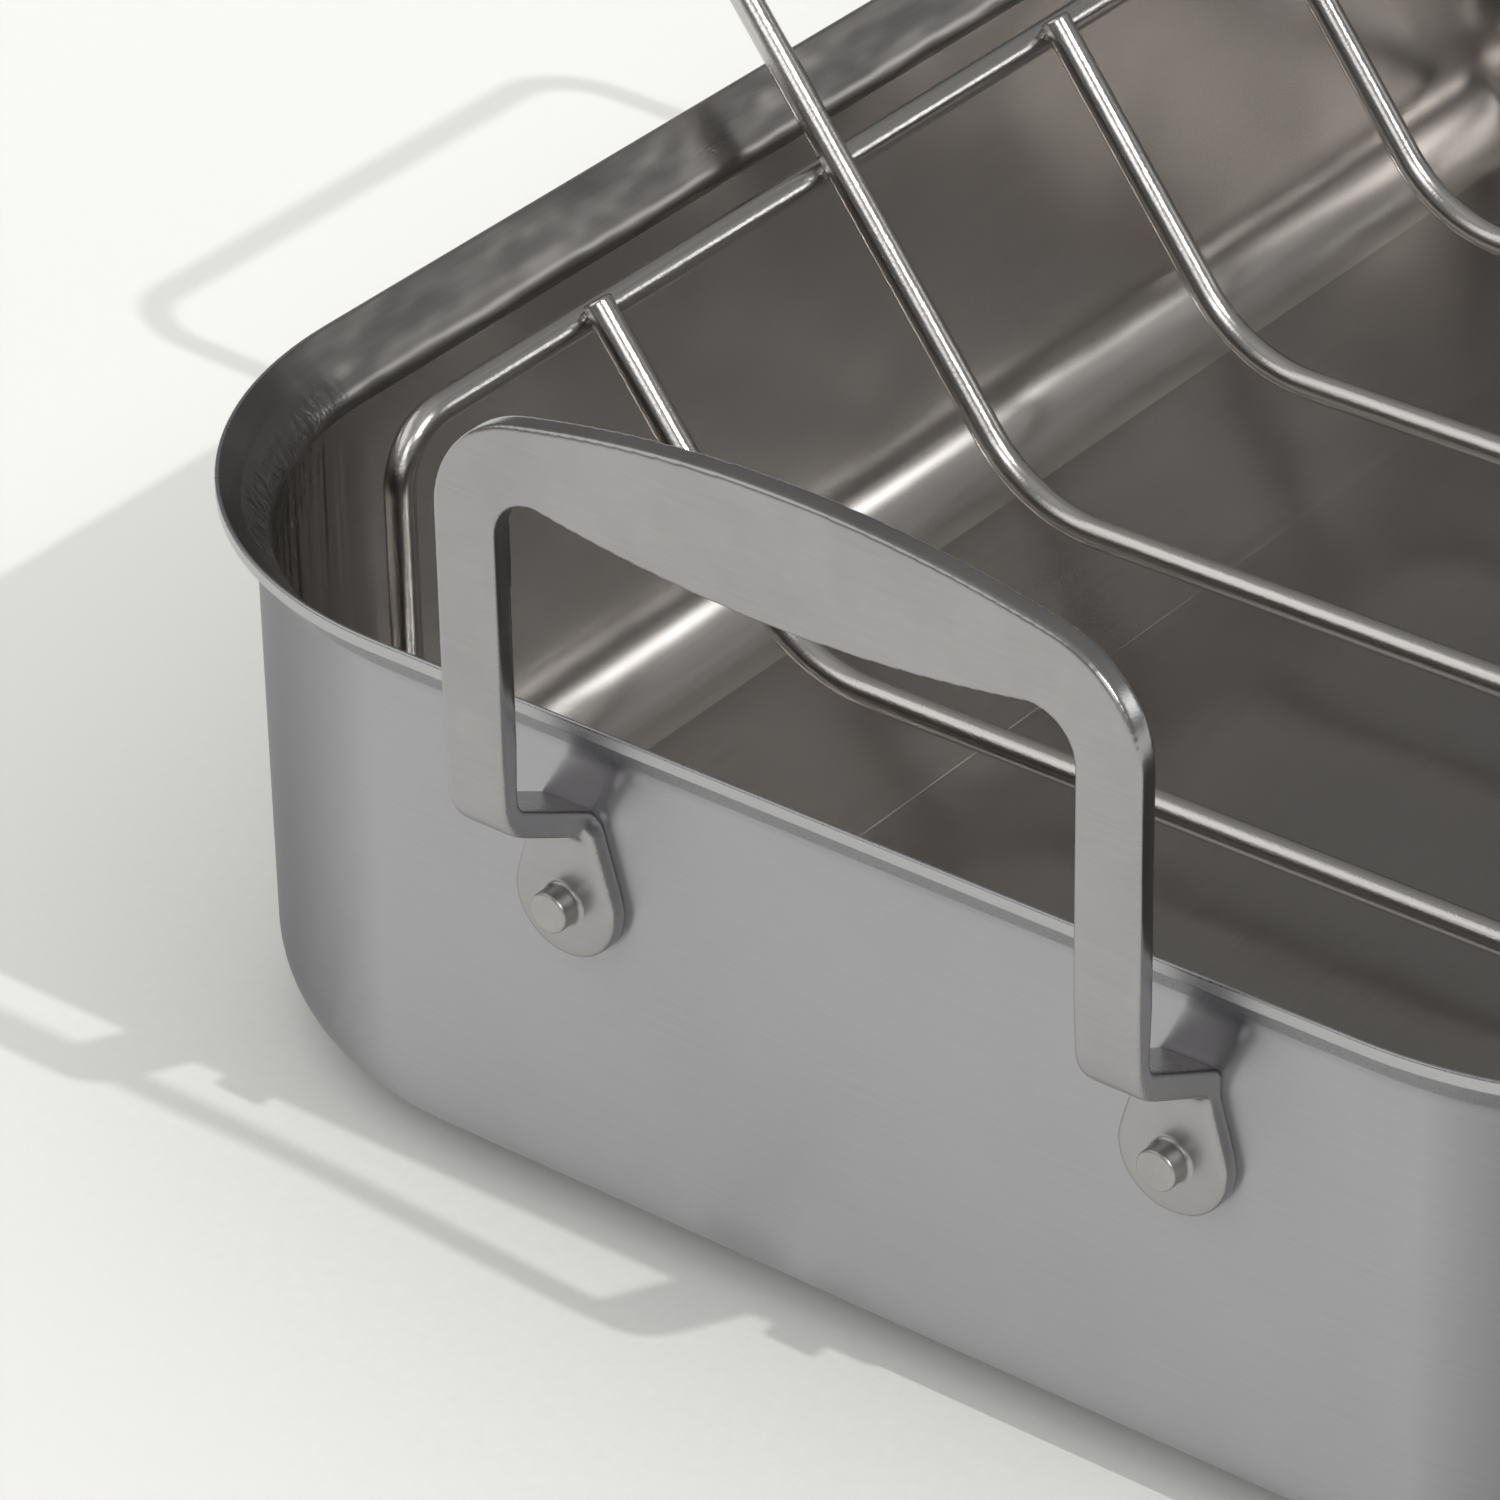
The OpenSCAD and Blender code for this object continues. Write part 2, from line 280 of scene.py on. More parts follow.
def brushed_wall_steel():
    """Outside of the pan: fine level brushing and faint clouds, with painted shade that darkens the corners.
    """
    material, tree, shader, place = metal("brushed_wall_steel")
    run = run_map(tree)
    fine = noise(tree, stretched(tree, run, (60, 5200, 1)), 1.0, 3.0, 0.6)
    long = noise(tree, stretched(tree, run, (14, 1400, 1)), 1.0, 2.0, 0.6)
    cloud = noise(tree, place, 28.0, 4.0, 0.55)
    speck = noise(tree, place, 900.0, 1.0)
    lines = weighed(tree, fine, 0.6, long, 0.4)
    both = weighed(tree, lines, 0.55, cloud, 0.45)
    steel = tinted(tree, both, (0.450, 0.444, 0.466), (0.515, 0.508, 0.532), 0.36, 0.64)
    # Painted shade: the base colour is darkened towards the middle of each corner.
    painted_corner_shade = tinted(tree, attribute(tree, "corner"), (1, 1, 1), (0.42, 0.42, 0.43), 0.2, 1.0)
    rough = maths(tree, "ADD", between(tree, lines, 0.31, 0.37), between(tree, cloud, -0.01, 0.02))
    wire_up(tree,
            (blended(tree, "MULTIPLY", steel, painted_corner_shade), shader.inputs["Base Color"]),
            (rough, shader.inputs["Roughness"]),
            (bumped(tree, speck, 0.02, bumped(tree, lines, 0.04)), shader.inputs["Normal"]))
    brushed_along(tree, shader, 0.98)
    return material


def satin_inside_steel(name, level, grain_scale, roughness, spread, relief, dark, light, painted_corner_shade):
    """Inside of the pan: satin sheet with fine brushing, faint clouds, what deep drawing leaves, and painted
    shade in the corners.

    The brushing runs level round the walls, or else straight along the pan. The relief gives the depths of
    the broad swell, the dents, the corners' upright ripples and the crumpled bend under a corner's lip.
    """
    material, tree, shader, place = metal(name)
    run, corner = run_map(tree), attribute(tree, "corner")
    height = add(tree, "ShaderNodeSeparateXYZ")
    tree.links.new(place, height.inputs[0])
    grain = noise(tree, stretched(tree, run if level else place, grain_scale), 1.0, 3.0, 0.65)
    cloud = noise(tree, place, 16.0, 3.0, 0.5)
    smear = noise(tree, stretched(tree, place, (9, 60, 60)), 1.0, 3.0, 0.6)
    swell = noise(tree, place, 22.0, 1.0, 0.4)
    dent = noise(tree, stretched(tree, run, (38, 70, 1)), 1.0)
    ripple = noise(tree, stretched(tree, run, (150, 5, 1)), 1.0)
    crumple = noise(tree, stretched(tree, run, (420, 300, 1)), 1.0, 3.0, 0.60)
    under_lip = between(tree, height.outputs["Z"], 0.0, 1.0, 0.073, 0.080)
    on_lip = between(tree, height.outputs["Z"], 0.0, 1.0, 0.0875, 0.0895)
    bend = maths(tree, "MULTIPLY", under_lip, maths(tree, "SUBTRACT", 1.0, on_lip))

    steel = tinted(tree, weighed(tree, grain, 0.45, cloud, 0.55), dark, light, 0.38, 0.62)
    # Painted shade: the colour is multiplied down towards the middle of each corner.
    toned = blended(tree, "MULTIPLY", steel, tinted(tree, corner, (1, 1, 1), painted_corner_shade, 0.0, 1.0))
    uneven = maths(tree, "ADD", between(tree, cloud, -0.01, 0.01), between(tree, smear, -0.01, 0.02))
    rough = maths(tree, "ADD", between(tree, grain, roughness - 0.015, roughness + 0.015), uneven)
    in_corner = maths(tree, "MULTIPLY", ripple, corner)
    in_bend = maths(tree, "MULTIPLY", crumple, maths(tree, "MULTIPLY", corner, bend))
    surface = None
    for shape, depth in zip((swell, dent, in_corner, in_bend), relief):
        surface = bumped(tree, shape, 1.0, surface, depth)
    wire_up(tree,
            (toned, shader.inputs["Base Color"]),
            (rough, shader.inputs["Roughness"]),
            (bumped(tree, grain, 0.006, surface), shader.inputs["Normal"]))
    brushed_along(tree, shader, spread)
    return material


def cut_edge_steel():
    """The clad sheet's skins, on both sides of the core along the rim's cut edge."""
    material, tree, shader, place = metal("cut_edge_steel")
    fine = noise(tree, place, 1800.0)
    wire_up(tree,
            (tinted(tree, fine, (0.38, 0.38, 0.395), (0.44, 0.44, 0.455)), shader.inputs["Base Color"]),
            (between(tree, fine, 0.26, 0.38), shader.inputs["Roughness"]))
    return material


def cut_edge_core():
    """The clad sheet's bright core, which shows on the rim's cut edge."""
    material, tree, shader, _ = metal("cut_edge_core")
    fine = noise(tree, stretched(tree, run_map(tree), (260, 4200, 1)), 1.0, 2.0, 0.6)
    wire_up(tree,
            (tinted(tree, fine, (0.44, 0.44, 0.452), (0.50, 0.50, 0.512)), shader.inputs["Base Color"]),
            (between(tree, fine, 0.34, 0.46), shader.inputs["Roughness"]),
            (bumped(tree, fine, 0.08), shader.inputs["Normal"]))
    return material


def blasted_cast_steel():
    """Handles: cast, then satin finished, a little uneven, and smoother on the flanks and on rubbed edges."""
    material, tree, shader, place = metal("blasted_cast_steel")
    grain = noise(tree, place, 2600.0, 2.0, 0.6)
    cloud = noise(tree, place, 55.0, 3.0, 0.55)
    swell = noise(tree, place, 38.0, 1.0, 0.4)
    brush = noise(tree, stretched(tree, place, (2600, 90, 2600), (0.30, 0, 0)), 1.0, 3.0, 0.6)
    pits = between(tree, noise(tree, place, 620.0, 1.0), 0.0, 1.0, 0.80, 0.86)
    worn = between(tree, add(tree, "ShaderNodeNewGeometry").outputs["Pointiness"], 0.0, 1.0, 0.52, 0.60)
    both = weighed(tree, cloud, 0.7, brush, 0.3)
    steel = tinted(tree, both, (0.345, 0.341, 0.343), (0.395, 0.391, 0.393), 0.36, 0.64)
    polish = weighed(tree, worn, 0.05, attribute(tree, "side"), 0.08)
    rough = maths(tree, "SUBTRACT", between(tree, both, 0.29, 0.36), polish)
    pitted = maths(tree, "SUBTRACT", grain, maths(tree, "MULTIPLY", pits, 2.0))
    surface = bumped(tree, pitted, 0.06, bumped(tree, swell, 0.45, depth=0.0010))
    wire_up(tree,
            (steel, shader.inputs["Base Color"]),
            (rough, shader.inputs["Roughness"]),
            (bumped(tree, brush, 0.02, surface), shader.inputs["Normal"]))
    return material


def rivet_steel():
    material, tree, shader, place = metal("rivet_steel")
    grain = noise(tree, place, 2200.0, 2.0, 0.6)
    cloud = noise(tree, place, 260.0, 3.0, 0.6)
    wire_up(tree,
            (tinted(tree, cloud, (0.370, 0.364, 0.360), (0.430, 0.424, 0.420)), shader.inputs["Base Color"]),
            (between(tree, cloud, 0.33, 0.42), shader.inputs["Roughness"]),
            (bumped(tree, grain, 0.14), shader.inputs["Normal"]))
    return material


def drawn_wire_steel():
    """Bright drawn wire: fine lines along it, and a slightly pebbled skin."""
    material, tree, shader, place = metal("drawn_wire_steel")
    shift = add(tree, "ShaderNodeCombineXYZ")
    tree.links.new(maths(tree, "MULTIPLY", attribute(tree, "along"), 18.0), shift.inputs["Z"])
    around = add(tree, "ShaderNodeVectorMath", operation="MULTIPLY_ADD")
    around.inputs[1].default_value = (7.0, 7.0, 0.0)
    wire_up(tree,
            (attribute(tree, "girth", "Vector"), around.inputs[0]),
            (shift.outputs[0], around.inputs[2]))
    lines = noise(tree, around.outputs[0], 1.0, 3.0, 0.6)
    pebble = noise(tree, place, 2300.0, 3.0, 0.65)
    patch = noise(tree, place, 45.0, 3.0, 0.6)
    rough = maths(tree, "ADD", between(tree, patch, 0.15, 0.21), between(tree, lines, -0.02, 0.03))
    wire_up(tree,
            (tinted(tree, lines, (0.520, 0.508, 0.495), (0.600, 0.588, 0.575)), shader.inputs["Base Color"]),
            (rough, shader.inputs["Roughness"]),
            (bumped(tree, lines, 0.05, bumped(tree, pebble, 0.22)), shader.inputs["Normal"]))
    return material


def pale_table():
    """A pale matt sheet with an even glow, which fades where something stands close over it: painted contact
    shade.
    """
    material, tree, shader, place = new_material("pale_table")
    paper = noise(tree, place, 400.0, 3.0, 0.6)
    # Painted contact shade: ambient occlusion dims the glow near the pan and rack.
    painted_contact_shade = add(tree, "ShaderNodeAmbientOcclusion", samples=8)
    painted_contact_shade.inputs["Distance"].default_value = 0.14
    wire_up(tree,
            (tinted(tree, paper, (0.63, 0.635, 0.62), (0.65, 0.655, 0.64)), shader.inputs["Base Color"]),
            (between(tree, painted_contact_shade.outputs["AO"], 0.06, 0.44, 0.25, 1.0), shader.inputs["Emission Strength"]))
    shader.inputs["Roughness"].default_value = 0.85
    shader.inputs["Specular IOR Level"].default_value = 0.1
    shader.inputs["Emission Color"].default_value = (1.0, 1.0, 0.975, 1)
    return material


# Pan

def lip_turn(wall, tip):
    """Bend from a wall face into a sloping face of the lip that ends at the point tip."""
    x = wall + LIP_BEND
    z = tip[1] - (tip[0] - x) * math.tan(LIP_SLOPE) - LIP_BEND / math.cos(LIP_SLOPE)
    return arc((x, z), LIP_BEND, 180, 90 + math.degrees(LIP_SLOPE), 12)


def pan_section():
    """The sheet's outline, as distance from a corner's axis, height and kind of surface."""
    reach = CORNER_RADIUS + LIP_REACH
    x, z = reach - LIP_ROUND, PAN_HEIGHT - LIP_ROUND
    upper = (x - LIP_ROUND * math.sin(LIP_SLOPE), z + LIP_ROUND * math.cos(LIP_SLOPE))
    low = z - LIP_EDGE
    base = (CORNER_RADIUS - BASE_RADIUS, BASE_RADIUS)
    rows = [
        (OUTSIDE, [(0.0, 0.0)]),
        (OUTSIDE, arc(base, BASE_RADIUS, -90, 0, 16)),
        (OUTSIDE, lip_turn(CORNER_RADIUS, (reach, low))),
        (EDGE, [(reach - 0.18, low - 0.14), (reach - 0.03, low + 0.10)]),
        (CORE, [(reach, low + 0.30), (reach, z)]),
        (EDGE, arc((x, z), LIP_ROUND, 10, 90 + math.degrees(LIP_SLOPE) - 12, 8)),
        (LIP, [upper]),
        (LIP, lip_turn(CORNER_RADIUS - SHEET, upper)[::-1]),
        (INSIDE, arc(base, BASE_RADIUS - SHEET, 0, -90, 16)),
        (FLOOR, [(0.0, SHEET)]),
    ]
    section = [(*point, kind) for kind, points in rows for point in points]
    held = section[:1]
    for before, after in zip(section, section[1:]):
        length = math.dist(before[:2], after[:2])
        if length > LONG_FLAT:
            for share in (EDGE_ROW / length, 1 - EDGE_ROW / length):
                held.append((*(a + (b - a) * share for a, b in zip(before[:2], after[:2])), after[2]))
        held.append(after)
    return held


def corner_ring():
    """Stations round the pan's four corners, and how far round the pan they lie, with the whole way last.

    A station is its corner's axis, its direction from there, and 0 on a wall up to 1 in the corner's middle.
    """
    ring, runs, run = [], [], 0.0
    for i, (sx, sy) in enumerate(((1, 1), (-1, 1), (-1, -1), (1, -1))):
        wall = 2 * (CORNER_X if i % 2 == 0 else CORNER_Y)
        for k in range(CORNER_STEPS + 1):
            turn = math.radians(90 * i + 90 * k / CORNER_STEPS)
            middle = math.sin(math.pi * k / CORNER_STEPS)
            ring.append((sx * CORNER_X, sy * CORNER_Y, math.cos(turn), math.sin(turn), middle))
            runs.append(run)
            run += CORNER_RADIUS * math.radians(90 / CORNER_STEPS) if k < CORNER_STEPS else wall
    return ring, runs + [run]


def pressed_pan(*materials):
    """The pan as one pressed sheet: its section carried round the corners."""
    section = pan_section()
    ring, runs = corner_ring()
    count = len(ring)
    points = []
    lengths = [0.0]
    for radius, height, _ in section:
        points += [(x + radius * c, y + radius * s, height) for x, y, c, s, _ in ring]
    for before, after in zip(section, section[1:]):
        lengths.append(lengths[-1] + math.dist(before[:2], after[:2]))

    faces, kinds, maps = [], [], []
    for j, (before, after) in enumerate(zip(section, section[1:])):
        kind = CORE if before[2] == CORE else after[2]
        for i in range(count):
            n = (i + 1) % count
            faces.append((j * count + i, j * count + n, (j + 1) * count + n, (j + 1) * count + i))
            kinds.append(kind)
            here, there, down, up = runs[i], runs[i + 1], lengths[j], lengths[j + 1]
            level = [(here, down), (there, down), (there, up), (here, up)]
            maps.append([points[k][:2] for k in faces[-1]] if kind == FLOOR else level)
    top = (len(section) - 1) * count
    for face, kind in ((range(count - 1, -1, -1), OUTSIDE), (range(top, top + count), FLOOR)):
        faces.append(tuple(face))
        kinds.append(kind)
        maps.append([points[k][:2] for k in face])

    mesh = new_mesh("roasting_pan", points, faces)
    layer = mesh.uv_layers.new(name="run")
    corner = mesh.attributes.new("corner", "FLOAT", "POINT")
    corner.data.foreach_set("value", [station[4] for _ in section for station in ring])
    for polygon, kind, spots in zip(mesh.polygons, kinds, maps):
        polygon.material_index = kind
        polygon.use_smooth = True
        for loop, (u, v) in zip(polygon.loop_indices, spots):
            layer.data[loop].uv = (u * MM, v * MM)
    made = piece("roasting_pan", mesh, *materials)
    edit = bmesh.new()
    edit.from_mesh(mesh)
    bmesh.ops.remove_doubles(edit, verts=edit.verts, dist=1e-7)
    bmesh.ops.recalc_face_normals(edit, faces=edit.faces)
    edit.to_mesh(mesh)
    edit.free()
    return made


# Handles

def mirrored(points):
    return [(-y, z) for y, z in reversed(points)]


def loop_outline(low):
    """The loop's outer edge from leg to leg: two round corners and a crowned top."""
    corner_y = HANDLE_WIDTH / 2 - LOOP_CORNER
    crown_z = GRIP_TOP - CROWN_RADIUS
    corner_z = crown_z + math.sqrt((CROWN_RADIUS - LOOP_CORNER) ** 2 - corner_y ** 2)
    meet = math.degrees(math.atan2(corner_z - crown_z, corner_y))
    half = [(HANDLE_WIDTH / 2, low)] + arc((corner_y, corner_z), LOOP_CORNER, 0, meet, 24)
    half += arc((0, crown_z), CROWN_RADIUS, meet, 90, 24)
    return half + mirrored(half[:-1])


def window_outline(low):
    """The window's edge from leg to leg: two round corners and a belly that hangs down in the middle."""
    corner_y = HANDLE_WIDTH / 2 - LEG_WIDTH - WINDOW_CORNER
    belly_z = GRIP_TOP - GRIP_DEPTH + BELLY_RADIUS
    corner_z = belly_z - math.sqrt((BELLY_RADIUS + WINDOW_CORNER) ** 2 - corner_y ** 2)
    meet = math.degrees(math.atan2(belly_z - corner_z, -corner_y))
    half = [(corner_y + WINDOW_CORNER, low)] + arc((corner_y, corner_z), WINDOW_CORNER, 0, meet, 20)
    half += arc((0, belly_z), BELLY_RADIUS, meet - 180, -90, 24)
    return half + mirrored(half[:-1])


def arm_outline(low):
    """Side view of an arm: out of the wall, up its slope, round the heel and into the leg, and back below."""
    slope = math.tan(ARM_SLOPE)
    pad_top = RIVET_HEIGHT + PAD_SHOULDER + PAD_CROWN
    under = pad_top - ARM / math.cos(ARM_SLOPE)
    back, turn, tuck = REACH - BAR, 90 - math.degrees(ARM_SLOPE), PAD - PAD_OVERLAP
    outer_z = under + (REACH - HEEL_OUTER) * slope + HEEL_OUTER / math.cos(ARM_SLOPE)
    inner_z = pad_top + (back - HEEL_INNER) * slope + HEEL_INNER / math.cos(ARM_SLOPE)
    return (
        [(-WALL_OVERLAP, pad_top - ARM), (-WALL_OVERLAP, pad_top - WALL_OVERLAP * slope)]
        + arc((back - HEEL_INNER, inner_z), HEEL_INNER, -turn, 0, 10)
        + [(back, low), (REACH, low)]
        + arc((REACH - HEEL_OUTER, outer_z), HEEL_OUTER, 0, -turn, 18)
        + [(tuck, under + tuck * slope)]
    )


def pad_outline():
    """A foot pad as it lies on the wall: round below, and drawn in to a narrower crowned top."""
    touch = math.atan2(PAD_SHOULDER, PAD_TOP_HALF)
    touch -= math.acos(PAD_RADIUS / math.hypot(PAD_TOP_HALF, PAD_SHOULDER))
    crown = (PAD_TOP_HALF ** 2 + PAD_CROWN ** 2) / (2 * PAD_CROWN)
    spread = math.degrees(math.asin(PAD_TOP_HALF / crown))
    half = arc((0, 0), PAD_RADIUS, -90, math.degrees(touch), 30)
    half += arc((0, PAD_SHOULDER + PAD_CROWN - crown), crown, 90 - spread, 90, 8)
    return half + mirrored(half)[1:-1]


def slab(edit, outline, place):
    """A closed slab from an outline and a rule that gives each point's near and far place."""
    near = [edit.verts.new(Vector(place(p, 0)) * MM) for p in outline]
    far = [edit.verts.new(Vector(place(p, 1)) * MM) for p in outline]
    count = len(outline)
    edit.faces.new(near)
    edit.faces.new(far[::-1])
    for i in range(count):
        n = (i + 1) % count
        edit.faces.new((near[n], near[i], far[i], far[n]))


def handle_blank(name, side):
    """Bar, arms and pads of one handle as sharp slabs that run into each other."""
    edit = bmesh.new()
    bar = (WALL_X + REACH - BAR, WALL_X + REACH)
    pad = (WALL_X - WALL_OVERLAP, WALL_X + PAD)
    outline = loop_outline(LEG_LOW) + window_outline(LEG_LOW)[::-1]
    slab(edit, outline, lambda p, k: (bar[k], p[0], p[1]))
    for s in (-1, 1):
        leg = (s * LEG_MIDDLE - LEG_WIDTH / 2, s * LEG_MIDDLE + LEG_WIDTH / 2)
        slab(edit, arm_outline(LEG_LOW + LEG_OVERLAP), lambda p, k: (WALL_X + p[0], leg[k], p[1]))
        slab(edit, pad_outline(), lambda p, k: (pad[k], s * RIVET_Y + p[0], RIVET_HEIGHT + p[1]))
    bmesh.ops.triangulate(edit, faces=edit.faces)
    bmesh.ops.recalc_face_normals(edit, faces=edit.faces)
    if side < 0:
        bmesh.ops.rotate(edit, verts=edit.verts, cent=(0, 0, 0), matrix=Matrix.Rotation(math.pi, 3, "Z"))
    return piece(name + "_rough", edited_mesh(name, edit))


def smoothed(source, label, rounds):
    modifier = source.modifiers.new(label, "SMOOTH")
    modifier.factor = 0.5
    modifier.iterations = rounds
    return modifier


def loop_handle(name, material, side):
    """One cast handle: its slabs fused, with every edge and crotch rounded, the arms and pads more so."""
    rough = handle_blank(name, side)
    fuse = rough.modifiers.new("Fuse", "REMESH")
    fuse.mode = "VOXEL"
    fuse.voxel_size = 0.38 * MM
    fuse.use_smooth_shade = True
    smoothed(rough, "Soften", 12)
    fused = applied(rough, name + "_fused")
    low_part = fused.vertex_groups.new(name="low")
    for vertex in fused.data.vertices:
        share = (ROUND_BELOW * MM - vertex.co.z) / (ROUND_BLEND * MM)
        if share > 0:
            low_part.add([vertex.index], min(share, 1.0), "REPLACE")
    smoothed(fused, "Rounder", 34).vertex_group = "low"
    made = applied(fused, name)
    flank = made.data.attributes.new("side", "FLOAT", "POINT")
    flank.data.foreach_set("value", [1 - abs(vertex.normal.x) for vertex in made.data.vertices])
    made.data.materials.clear()
    made.data.materials.append(material)
    return made


# Geometry Nodes

def new_tree(name, inputs):
    tree = bpy.data.node_groups.new(name, "GeometryNodeTree")
    tree.interface.new_socket("Geometry", in_out="INPUT", socket_type="NodeSocketGeometry")
    for label, kind in inputs:
        tree.interface.new_socket(label, in_out="INPUT", socket_type=kind)
    tree.interface.new_socket("Geometry", in_out="OUTPUT", socket_type="NodeSocketGeometry")
    return tree, add(tree, "NodeGroupInput"), add(tree, "NodeGroupOutput")


def run_tree(source, tree, name, values):
    """Runs a tree on an object with its named inputs, and returns the plain result."""
    modifier = source.modifiers.new(tree.name, "NODES")
    modifier.node_group = tree
    for item in tree.interface.items_tree:
        if item.item_type == "SOCKET" and item.in_out == "INPUT" and item.name in values:
            modifier[item.identifier] = values[item.name]
    return applied(source, name)


def read_attribute(tree, name, kind="FLOAT"):
    node = add(tree, "GeometryNodeInputNamedAttribute", data_type=kind)
    node.inputs["Name"].default_value = name
    return node.outputs["Attribute"]


def stored_attribute(tree, name, kind="FLOAT"):
    node = add(tree, "GeometryNodeStoreNamedAttribute", data_type=kind, domain="POINT")
    node.inputs["Name"].default_value = name
    return node


def finished(tree, given, place, result):
    """Makes the placed copies real, smooth and of the given finish, and hands them over."""
    real = add(tree, "GeometryNodeRealizeInstances")
    smooth = add(tree, "GeometryNodeSetShadeSmooth")
    paint = add(tree, "GeometryNodeSetMaterial")
    wire_up(tree,
            (place.outputs["Instances"], real.inputs["Geometry"]),
            (real.outputs["Geometry"], smooth.inputs["Geometry"]),
            (smooth.outputs["Geometry"], paint.inputs["Geometry"]),
            (given.outputs["Finish"], paint.inputs["Material"]),
            (paint.outputs["Geometry"], result.inputs["Geometry"]))


def bent_wire_tree():
    """Sweeps a round section along paths whose corners are bent to each point's own radius."""
    tree, given, result = new_tree("Bent wire", (
        ("Wire Thickness", "NodeSocketFloat"), ("Bend Steps", "NodeSocketInt"),
        ("Round Steps", "NodeSocketInt"), ("Copies", "NodeSocketInt"), ("Pitch", "NodeSocketFloat"),
        ("Finish", "NodeSocketMaterial")))
    path = add(tree, "GeometryNodeMeshToCurve")
    fillet = add(tree, "GeometryNodeFilletCurve", mode="POLY")
    length = stored_attribute(tree, "along")
    spline = add(tree, "GeometryNodeSplineParameter")
    circle = add(tree, "GeometryNodeCurvePrimitiveCircle", mode="RADIUS")
    girth = stored_attribute(tree, "girth", "FLOAT_VECTOR")
    spot = add(tree, "GeometryNodeInputPosition")
    unit = add(tree, "ShaderNodeVectorMath", operation="NORMALIZE")
    sweep = add(tree, "GeometryNodeCurveToMesh")
    sweep.inputs["Fill Caps"].default_value = True
    row = add(tree, "GeometryNodeMeshLine", mode="OFFSET")
    step = add(tree, "ShaderNodeCombineXYZ")
    place = add(tree, "GeometryNodeInstanceOnPoints")
    wire_up(tree,
            (given.outputs["Geometry"], path.inputs["Mesh"]),
            (path.outputs["Curve"], fillet.inputs["Curve"]),
            (given.outputs["Bend Steps"], fillet.inputs["Count"]),
            (read_attribute(tree, "bend"), fillet.inputs["Radius"]),
            (fillet.outputs["Curve"], length.inputs["Geometry"]),
            (spline.outputs["Length"], length.inputs["Value"]),
            (maths(tree, "MULTIPLY", given.outputs["Wire Thickness"], 0.5), circle.inputs["Radius"]),
            (given.outputs["Round Steps"], circle.inputs["Resolution"]),
            (circle.outputs["Curve"], girth.inputs["Geometry"]),
            (spot.outputs["Position"], unit.inputs[0]),
            (unit.outputs[0], girth.inputs["Value"]),
            (length.outputs["Geometry"], sweep.inputs["Curve"]),
            (girth.outputs["Geometry"], sweep.inputs["Profile Curve"]),
            (read_attribute(tree, "taper"), sweep.inputs["Scale"]),
            (given.outputs["Copies"], row.inputs["Count"]),
            (given.outputs["Pitch"], step.inputs["X"]),
            (step.outputs[0], row.inputs["Offset"]),
            (row.outputs["Mesh"], place.inputs["Points"]),
            (sweep.outputs["Mesh"], place.inputs["Instance"]))
    finished(tree, given, place, result)
    return tree


def scatter_tree():
    """Sets a copy of one small part on each point, turned by the point's own angles."""
    tree, given, result = new_tree("Set in place", (
        ("Part", "NodeSocketObject"), ("Part Size", "NodeSocketFloat"), ("Finish", "NodeSocketMaterial")))
    part = add(tree, "GeometryNodeObjectInfo")
    turn = add(tree, "FunctionNodeEulerToRotation")
    place = add(tree, "GeometryNodeInstanceOnPoints")
    wire_up(tree,
            (given.outputs["Part"], part.inputs["Object"]),
            (given.outputs["Geometry"], place.inputs["Points"]),
            (part.outputs["Geometry"], place.inputs["Instance"]),
            (given.outputs["Part Size"], place.inputs["Scale"]),
            (read_attribute(tree, "angles", "FLOAT_VECTOR"), turn.inputs["Euler"]),
            (turn.outputs["Rotation"], place.inputs["Rotation"]))
    finished(tree, given, place, result)
    return tree


# Rack

def on_side(x, side, height):
    """The place at a height on one of the cradle's leaning sides."""
    return (x, side * (CRADLE_HALF + (height - CRADLE_HEIGHT) * math.tan(LEAN)), height)


def rounded_tip():
    """Steps in from a wire's cut end, each with the wire's share of its full thickness there."""
    angles = [math.radians(a) for a in (90, 60, 35, 15)]
    steps = [(TIP_ROUND * (1 - math.sin(a)), 1 - TIP_ROUND / (WIRE / 2) * (1 - math.cos(a))) for a in angles]
    return steps + [(TIP_ROUND, 1.0)]


def path_object(name, points, bends, closed):
    """A path of edges, with a bend radius and a taper at each point. An open one gets softly rounded tips."""
    points = [Vector(p) for p in points]
    tapers = [1.0] * len(points)
    if not closed:
        tip = rounded_tip()
        ahead, astern = (points[1] - points[0]).normalized(), (points[-2] - points[-1]).normalized()
        first = [points[0] + ahead * d for d, _ in tip]
        last = [points[-1] + astern * d for d, _ in reversed(tip)]
        points = first + points[1:-1] + last
        tapers = [t for _, t in tip] + tapers[1:-1] + [t for _, t in reversed(tip)]
        bends = [0.0] * len(tip) + bends[1:-1] + [0.0] * len(tip)
    count = len(points)
    edges = [(i, (i + 1) % count) for i in range(count if closed else count - 1)]
    mesh = new_mesh(name, points, edges=edges)
    for label, values, scale in (("bend", bends, MM), ("taper", tapers, 1.0)):
        layer = mesh.attributes.new(label, "FLOAT", "POINT")
        layer.data.foreach_set("value", [v * scale for v in values])
    return piece(name, mesh)


def bent_wire(name, tree, points, bends, closed, material, copies=1):
    """One bent wire, or a row of equal ones."""
    return run_tree(path_object(name + "_path", points, bends, closed), tree, name, {
        "Wire Thickness": WIRE * MM, "Bend Steps": 14, "Round Steps": 32,
        "Copies": copies, "Pitch": 2 * WIRE_PITCH * MM, "Finish": material})


